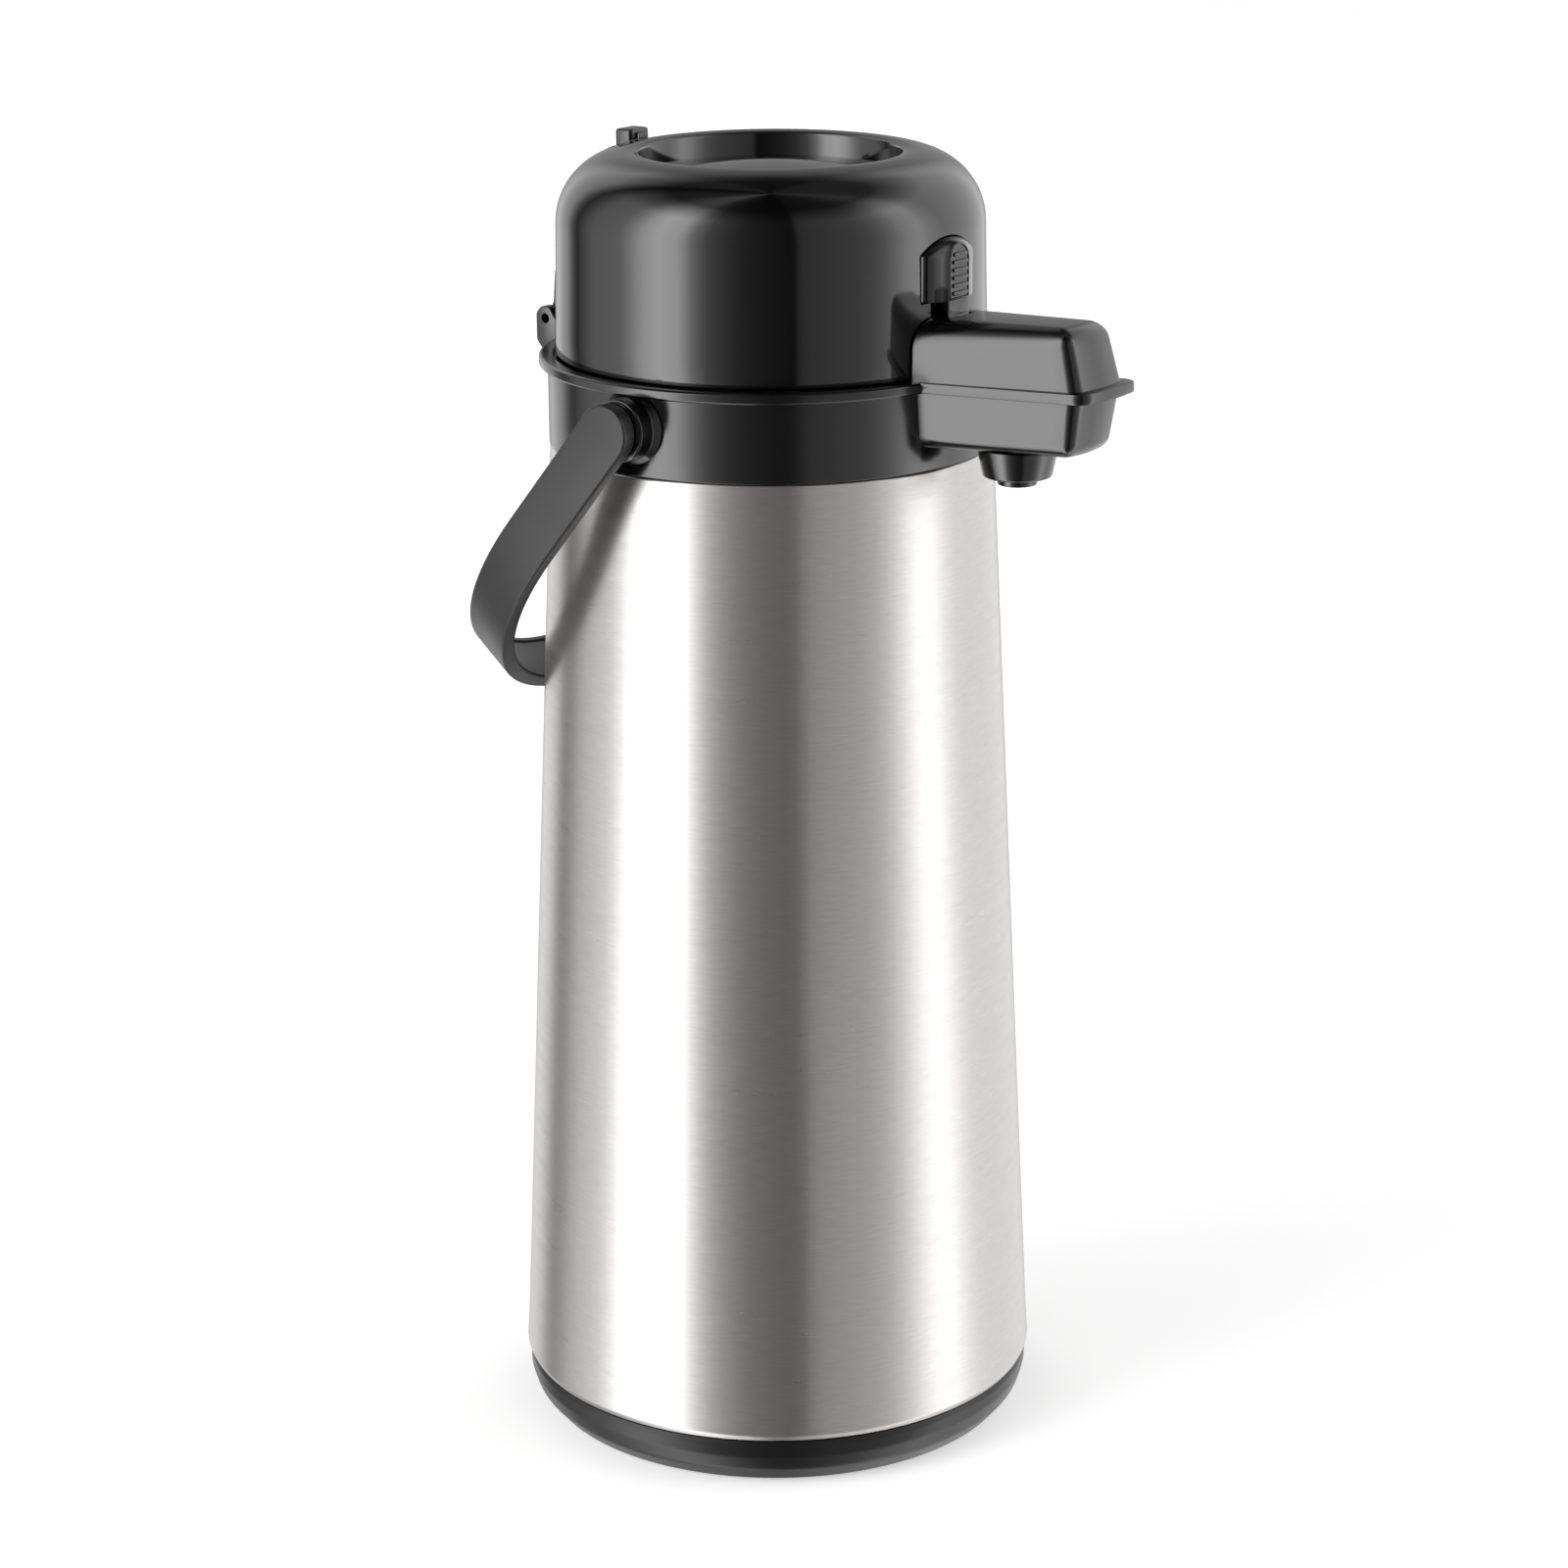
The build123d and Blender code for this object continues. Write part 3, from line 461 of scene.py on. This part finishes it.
def build_collar():
    wall = rounded([
        (33.0, 318.5, 0), (65.2, 318.5, 0), (65.2, 311.0, 0), (67.6, 311.0, 0.3), (67.9, 320.5, 0),
        (69.3, 320.5, 0.35), (69.3, 344.8, 0.25), (71.4, 344.8, 0.5), (72.0, 345.4, 0.5), (72.0, 347.6, 0.7),
        (71.2, 348.1, 0.5), (67.6, 348.1, 0.3), (67.2, 347.0, 0.3), (66.4, 347.0, 0.2), (66.4, 321.0, 0),
        (33.0, 321.0, 0)])
    collar = lathe("collar_shell", wall)
    trough = spout_solid("trough", (ROOT_HALF, TIP_HALF, SPOUT_TIP), (1.2, 1.8, 4.0), -TROUGH_DROP, 4.0, 4.0,
                         4.5, 60.0)
    combine(collar, trough)
    combine(collar, band_solid("band", 60.0))
    boss_outline = rounded([
        (0, 64.3, 0), (11.2, 64.3, 0), (11.2, 69.6, 0.5), (9.7, 71.2, 1.0), (9.5, 76.1, 0.4),
        (9.1, 76.5, 0.3), (5.05, 76.5, 0.2), (5.05, 69.5, 0), (0, 69.5, 0)])
    for side in (-1, 1):
        boss = lathe("boss", [(r, side * x) for r, x in boss_outline], centre=(0.0, PIVOT_Z), axis="X",
                     turns=96)
        combine(collar, boss)
    for side in (-1, 1):
        low = 18.3 if side > 0 else -22.3
        ear = rounded([(65.0, 332.0, 0), (65.0, 350.0, 0.8), (68.9, 354.4, 2.5), (70.8, 357.3, 2.5),
                       (74.4, 357.3, 2.8),
                       (76.4, 355.0, 2.8), (76.4, 346.5, 2.0), (72.5, 341.5, 4.0), (68.2, 332.0, 0.8)])
        lug = prism("ear", ear, basis((low, 0, 0), (0, 1, 0), (1, 0, 0)), 4.0, 0.5)
        combine(collar, lug)
    lid_room = prism("lid_room", [(66.55 * cos(2 * pi * k / TURNS), 66.55 * sin(2 * pi * k / TURNS))
                                  for k in range(TURNS)], basis((0, 0, 320.8), (1, 0, 0), (0, 0, 1)), 40.0)
    combine(collar, lid_room, "DIFFERENCE")
    place(collar, "shell", SATIN, "satin_black", "collar")


def build_spout_cover():
    cover = spout_solid("spout_top", (ROOT_HALF, TIP_HALF, SPOUT_TIP), (1.0, 1.4, 4.2), COVER_RISE, 8.5, 4.6,
                        4.5, DOME_R + 0.9)
    pocket = prism("pocket", [(-5.0, -72.4), (5.0, -72.4), (5.0, -60.0), (-5.0, -60.0)],
                   basis((0, 0, 362.8), (1, 0, 0), (0, 0, 1)), 12.0)
    combine(cover, pocket, "DIFFERENCE")
    place(cover, "shell", SATIN, "satin_black", "spout_cover")


def build_nozzle():
    outline = rounded([
        (7.4, 332.0, 0), (7.4, 327.0, 0), (4.05, 325.0, 0), (4.05, 321.4, 0), (3.8, 321.4, 0),
        (3.8, 317.3, 0.2), (6.0, 317.3, 0.4), (6.0, 319.6, 0.3), (10.4, 319.8, 0.9), (12.2, 328.6, 0.5),
        (8.2, 328.9, 0), (8.2, 332.0, 0)])
    cone = lathe("nozzle_cone", outline, centre=(0.0, NOZZLE_Y), turns=96)
    place(cone, "shell", SATIN, "satin_black", "nozzle")


# ---- dome lid ---------------------------------------------------------------------------
def dome_profile():
    centre_r = SHOULDER_TOP_R - SHOULDER_R
    centre_z = CREST_Z - SHOULDER_R
    inner = SHOULDER_R - 2.4
    outer_arc = [(centre_r + SHOULDER_R * cos(a), centre_z + SHOULDER_R * sin(a))
                 for a in [pi / 2 * k / 24 for k in range(25)]]
    inner_arc = [(centre_r + inner * cos(a), centre_z + inner * sin(a))
                 for a in [pi / 2 * k / 12 for k in range(12, -1, -1)]]
    walls = [(DOME_R - 0.5, 348.5), (DOME_R - 0.1, 348.7), (DOME_R, 349.2), (66.7, 356.0), (66.3, 370.0)]
    lip = [(42.4, 409.85), (41.2, 409.6), (40.5, 409.2), (RIM_R, 408.5), (RIM_R, WELL_BOTTOM),
           (RIM_R + 2.2, WELL_BOTTOM),
           (RIM_R + 2.2, centre_z + inner - 0.4)]
    return walls + outer_arc + lip + inner_arc[1:] + [(DOME_R - 2.4, 348.5)]


def latch_ring(y, half, low, spring, top):
    """Front outline of the latch at a depth: straight sides and a round top."""
    rise = top - spring
    radius = (half ** 2 + rise ** 2) / (2 * rise)
    reach = asin(min(half / radius, 1.0))
    row = [(-half + 2 * half * k / 8, y, low) for k in range(8)]
    row += [(half, y, low + (spring - low) * k / 8) for k in range(8)]
    row += [(radius * sin(a), y, top - radius + radius * cos(a))
            for a in [reach * (1 - k / 12) for k in range(24)]]
    row += [(-half, y, spring + (low - spring) * k / 8) for k in range(8)]
    return row


def build_dome():
    dome = lathe("dome_shell", dome_profile(), turns=256, smooth_angle=30.0)
    slit = prism("slit", [(-5.7, 357.5), (5.7, 357.5), (5.7, 372.5), (-5.7, 372.5)],
                 basis((0, -60.0, 0), (1, 0, 0), (0, -1, 0)), 12.0)
    combine(dome, slit, "DIFFERENCE")
    window = skin("window", [latch_ring(y, LATCH_WINDOW_HALF, 370.2, 384.8, 389.4) for y in (-60.0, -72.0)])
    combine(dome, window, "DIFFERENCE")
    slot = []
    for sign, radius in ((1, 49.0), (-1, 52.0)):
        turns = [radians(-4 + LOCK_SLOT_TURN * k / 24) for k in range(25)]
        turns = turns if sign > 0 else turns[::-1]
        slot += [(-radius * sin(a), radius * cos(a)) for a in turns]
    cutter = prism("slot", slot, basis((0, 0, 398.0), (1, 0, 0), (0, 0, 1)), 20.0)
    combine(dome, cutter, "DIFFERENCE")
    place(dome, "lid", GLOSS, "gloss_black", "dome_cover")


def build_push_plate():
    low = PLATE_TOP - 17.6
    sphere = (PLATE_R ** 2 + PLATE_CROWN ** 2) / (2 * PLATE_CROWN)
    crown = [(r, PLATE_TOP + PLATE_CROWN - sphere + sqrt(sphere ** 2 - r ** 2))
             for r in [(PLATE_R - 0.9) * k / 24 for k in range(25)]]
    edge = rounded([crown[-1] + (0,), (PLATE_R, PLATE_TOP - 0.1, 0.7), (PLATE_R, low, 0.3),
                    (PLATE_R - 2.0, low, 0.3),
                    (PLATE_R - 2.0, PLATE_TOP - 2.2, 0.8), (0, PLATE_TOP - 2.2, 0)], closed=False)
    place(lathe("plate", crown[:-1] + edge, closed=False), "push_button", GLOSS, "gloss_black", "push_plate")


def build_hinge_leaf():
    outline = rounded([(62.0, 357.5, 0), (69.0, 356.6, 0), (69.1, 353.5, 0), (70.2, 350.9, 2.5),
                       (74.8, 350.9, 2.5), (75.9, 353.5, 2.5), (73.2, 358.0, 4.0), (72.4, 368.0, 2.0),
                       (69.6, 371.5, 1.5), (62.0, 371.5, 0)])
    leaf = prism("rear_leaf", outline, basis((-LEAF_WIDTH / 2, 0, 0), (0, 1, 0), (1, 0, 0)),
                 LEAF_WIDTH, 0.5)
    core = prism("core", [(66.92 * cos(2 * pi * k / 128), 66.92 * sin(2 * pi * k / 128)) for k in range(128)],
                 basis((0, 0, 330.0), (1, 0, 0), (0, 0, 1)), 60.0)
    combine(leaf, core, "DIFFERENCE")
    place(leaf, "lid", SATIN, "satin_black", "hinge_leaf")


# ---- latch and lock ---------------------------------------------------------------------
def build_latch():
    levels = [(-62.9, 12.6, 371.1, 384.5, 389.0), (-65.3, 12.6, 371.1, 384.5, 389.0),
              (-66.2, 12.3, 371.0, 384.4, 389.0), (-67.2, 11.3, 370.9, 384.2, 388.9),
              (-68.2, 9.6, 370.8, 383.8, 388.7), (-69.1, 7.3, 370.7, 383.2, 388.3),
              (-69.7, 5.7, 370.7, 382.8, 388.0), (-70.2, 5.1, 370.8, 382.7, 387.7),
              (-70.4, 4.7, 371.1, 382.6, 387.3),
              (-70.4, 4.45, 371.3, 382.6, 387.0), (-70.1, 4.3, 371.5, 382.6, 386.8)]
    whole = skin("latch_grip", [latch_ring(*level) for level in levels], smooth_angle=25.0)
    inside = basis((0, -69.8, 0), (1, 0, 0), (0, -1, 0))
    for k in range(6):
        level = 372.7 + 2.32 * k
        width = 3.7 if k < 5 else 3.3
        rib = prism("rib", [(-width, level - 0.55), (width, level - 0.55), (width, level + 0.55),
                            (-width, level + 0.55)], inside, 1.0, 0.22)
        combine(whole, rib)
    side = basis((-2.8, 0, 0), (0, 1, 0), (1, 0, 0))
    arm = [(-68.2, 372.0), (-62.5, 373.0), (-58.4, 374.5), (-58.4, 377.5), (-62.5, 379.0), (-68.2, 381.0)]
    combine(whole, prism("arm", arm, side, 5.6, 0.3))
    neck = [(-70.1, 371.6), (-70.2, 366.0), (-71.5, 365.6), (-71.5, 363.6), (-69.0, 363.6), (-66.9, 371.6)]
    combine(whole, prism("neck", neck, basis((-5.2, 0, 0), (0, 1, 0), (1, 0, 0)), 10.4, 0.25))
    whole.name = "latch_tab"
    place(whole, "latch", GLOSS, "gloss_black", "latch")


def build_lock():
    outline = rounded([(-4.75, 50.6, 1.6), (4.75, 50.6, 1.6), (4.75, 57.6, 1.6), (-4.75, 57.6, 1.6)], steps=6)
    knob = prism("lock_slide_knob", outline, basis((0, 0, 396.0), (1, 0, 0), (0, 0, 1)), 16.3, 0.9, 4)
    centre_r = SHOULDER_TOP_R - SHOULDER_R
    reach = SHOULDER_R + 0.35
    arc = [(centre_r + reach * cos(a), CREST_Z - SHOULDER_R + reach * sin(a))
           for a in [pi / 2 * k / 24 for k in range(25)]]
    section = [(0, 380.0), (centre_r + reach, 380.0)] + arc + [(0, CREST_Z + 0.35)]
    body = lathe("under", section, closed=False, turns=256)
    combine(knob, body, "DIFFERENCE")
    stem = prism("stem", [(-2.2, 49.5), (2.2, 49.5), (2.2, 51.5), (-2.2, 51.5)],
                 basis((0, 0, 404.2), (1, 0, 0), (0, 0, 1)), 7.0, 0.2)
    combine(knob, stem)
    place(knob, "lock_slider", SATIN, "satin_black", "lock_knob")


# ---- handle -----------------------------------------------------------------------------
def strap_section(half, thick):
    """Half-round-edged strap with a shallow channel inside; X is the width, Y goes inwards."""
    edge = min(0.9, half * 0.3)
    rim = min(1.5, half * 0.25)
    depth = 0.7 if half > 4 else 0.15
    corners = [
        (-half, 0, edge), (half, 0, edge), (half, thick, edge * 0.9), (half - rim, thick, 0.3),
        (half - rim - 0.5, thick - depth, 0.3), (-half + rim + 0.5, thick - depth, 0.3),
        (-half + rim, thick, 0.3), (-half, thick, edge * 0.9)]
    return rounded(corners, steps=4)


def build_handle():
    inner_r = HANDLE_OUT - HANDLE_THICK
    straight = HANDLE_REACH - inner_r
    half = HANDLE_WIDTH / 2
    stations = []                      # (centre on the outer face, inward direction, half width, thickness)
    for k in range(1, 13):
        a = pi / 2 * k / 12
        stations.append(((-HANDLE_OUT, -half * cos(a)), (1, 0), half * sin(a), HANDLE_THICK))
    for k in range(1, 13):
        stations.append(((-HANDLE_OUT, straight * k / 12), (1, 0), half, HANDLE_THICK))
    for k in range(1, 73):
        a = pi * k / 72
        where = (-HANDLE_OUT * cos(a), straight + HANDLE_OUT * sin(a))
        stations.append((where, (cos(a), -sin(a)), half, HANDLE_THICK))
    for k in range(11, -1, -1):
        stations.append(((HANDLE_OUT, straight * k / 12), (-1, 0), half, HANDLE_THICK))
    for k in range(11, 0, -1):
        a = pi / 2 * k / 12
        stations.append(((HANDLE_OUT, -half * cos(a)), (-1, 0), half * sin(a), HANDLE_THICK))
    plane = basis((0, 0, PIVOT_Z), (1, 0, 0), (0, sin(radians(HANDLE_DROP)), cos(radians(HANDLE_DROP))))
    rings = []
    for (cx, cy), (ix, iy), wide, thick in stations:
        rings.append([tuple(plane @ Vector((cx + ix * v, cy + iy * v, u)))
                      for u, v in strap_section(wide, thick)])
    strap = skin("bail_handle", rings, smooth_angle=35.0)
    pin_outline = rounded([(0, 70.5, 0), (5.0, 70.5, 0.6), (5.0, 78.0, 0), (7.4, 78.2, 0.3), (7.4, 79.2, 0),
                           (0, 79.2, 0)], closed=False)
    for side in (-1, 1):
        pin = lathe("pin", [(r, side * x) for r, x in pin_outline], centre=(0.0, PIVOT_Z), axis="X",
                    closed=False, turns=64)
        combine(strap, pin)
    place(strap, "handle", GRIP, "handle_black", "handle")


# ---- CAD nodes that show as they are ----------------------------------------------------
def dress_nodes():
    """Materials of the CAD nodes that stay."""
    finishes = {
        "foot_ring": RUBBER, "bottom_cap": BASE, "liner_cushion": RUBBER, "liner_outer": LINER_STEEL,
        "liner_inner": LINER_STEEL, "neck_gasket": RUBBER, "spout_tube": LINER_STEEL,
        "siphon_stem": LINER_STEEL, "stem_holder": INNER, "hinge_pin": BRIGHT, "trunnion_washers": SATIN,
        "inner_lid": INNER, "lid_gasket": RUBBER, "lid_screws": BRIGHT, "bellows": RUBBER,
        "pump_spring": BRIGHT, "latch_pin": BRIGHT, "latch_spring": BRIGHT, "bellows_head": INNER,
        "air_valve": RUBBER, "lock_shoe": INNER}
    for name, material in finishes.items():
        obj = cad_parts[name]
        obj.data.materials.clear()
        obj.data.materials.append(material)


# ---- studio -----------------------------------------------------------------------------
def build_camera():
    """Camera of the reference view, aimed from in front and a little above."""
    azimuth = radians(SPOUT_AZIMUTH)
    pitch = radians(17.01)
    roll = 0.0064
    distance, height = 1194.6, 572.7
    right = Vector((cos(azimuth), -sin(azimuth), 0))
    ahead = Vector((sin(azimuth) * cos(pitch), cos(azimuth) * cos(pitch), -sin(pitch)))
    up = right.cross(ahead)
    rolled_right = right * cos(roll) - up * sin(roll)
    rolled_up = up * cos(roll) + right * sin(roll)
    data = bpy.data.cameras.new("camera")
    data.sensor_width = 36.0
    data.lens = 89.59
    data.shift_x = 0.0062
    data.clip_start = 0.05
    camera = bpy.data.objects.new("camera", data)
    bpy.context.scene.collection.objects.link(camera)
    where = Vector((-sin(azimuth) * distance, -cos(azimuth) * distance, height)) * MM
    back = -ahead
    camera.matrix_world = Matrix((
        (rolled_right.x, rolled_up.x, back.x, where.x), (rolled_right.y, rolled_up.y, back.y, where.y),
        (rolled_right.z, rolled_up.z, back.z, where.z), (0, 0, 0, 1)))
    bpy.context.scene.camera = camera


def studio_world():
    """Soft light that changes with the compass direction, as soft boxes and dark flags round a table do."""
    world = bpy.data.worlds.new("studio")
    world.use_nodes = True
    tree = world.node_tree
    coords = node(tree, "ShaderNodeTexCoord")
    turned = node(tree, "ShaderNodeMapping", vector_type="POINT")
    turned.inputs["Rotation"].default_value = (0, 0, radians(SPOUT_AZIMUTH))
    tree.links.new(coords.outputs["Generated"], turned.inputs["Vector"])
    split = node(tree, "ShaderNodeSeparateXYZ")
    tree.links.new(turned.outputs["Vector"], split.inputs["Vector"])
    flipped = node(tree, "ShaderNodeMath", operation="MULTIPLY")
    flipped.inputs[1].default_value = -1.0
    tree.links.new(split.outputs["Y"], flipped.inputs[0])
    compass = node(tree, "ShaderNodeMath", operation="ARCTAN2")
    tree.links.new(split.outputs["X"], compass.inputs[0])
    tree.links.new(flipped.outputs[0], compass.inputs[1])
    share = ramp(tree, compass.outputs[0], 0.0, 1.0, -pi, pi)
    colours = node(tree, "ShaderNodeValToRGB")
    tree.links.new(share, colours.inputs["Fac"])
    band = colours.color_ramp
    band.interpolation = "LINEAR"
    while len(band.elements) < len(LIGHT_STOPS):
        band.elements.new(0.5)
    for element, (angle, _) in zip(band.elements, LIGHT_STOPS):
        element.position = (angle + 180) / 360
    for element, (_, brightness) in zip(band.elements, LIGHT_STOPS):
        value = brightness / LIGHT_PEAK
        element.color = (value, value, value, 1)
    high = ramp(tree, split.outputs["Z"], 1.0, 0.12, 0.62, 0.86)
    level = node(tree, "ShaderNodeMath", operation="MULTIPLY")
    level.inputs[1].default_value = LIGHT_PEAK
    tree.links.new(high, level.inputs[0])
    light_path = node(tree, "ShaderNodeLightPath")
    seen = node(tree, "ShaderNodeMix", data_type="FLOAT")
    tree.links.new(light_path.outputs["Is Camera Ray"], seen.inputs["Factor"])
    tree.links.new(level.outputs[0], seen.inputs["A"])
    seen.inputs["B"].default_value = 1.0
    tint = node(tree, "ShaderNodeMix", data_type="RGBA")
    tree.links.new(light_path.outputs["Is Camera Ray"], tint.inputs["Factor"])
    tree.links.new(colours.outputs["Color"], tint.inputs["A"])
    tint.inputs["B"].default_value = (1, 1, 1, 1)
    background = tree.nodes["Background"]
    tree.links.new(tint.outputs["Result"], background.inputs["Color"])
    tree.links.new(seen.outputs["Result"], background.inputs["Strength"])
    bpy.context.scene.world = world


def build_studio():
    corners = [(-1, -1), (1, -1), (1, 1), (-1, 1)]
    floor = make_object("floor", [(x * FLOOR_HALF, y * FLOOR_HALF, 0) for x, y in corners], [(0, 1, 2, 3)])
    material, tree, shader = new_material("floor_white")
    shader.inputs["Base Color"].default_value = (0.9, 0.9, 0.9, 1)
    shader.inputs["Roughness"].default_value = 0.9
    shader.inputs["Emission Color"].default_value = (1, 1, 1, 1)
    shader.inputs["Emission Strength"].default_value = 0.45
    floor.data.materials.append(material)
    floor.visible_glossy = False
    studio_world()
    bpy.context.scene.view_settings.view_transform = "Standard"


build_base()
build_jacket()
build_collar()
build_spout_cover()
build_nozzle()
build_dome()
build_push_plate()
build_hinge_leaf()
build_latch()
build_lock()
build_handle()
dress_nodes()
build_camera()
build_studio()
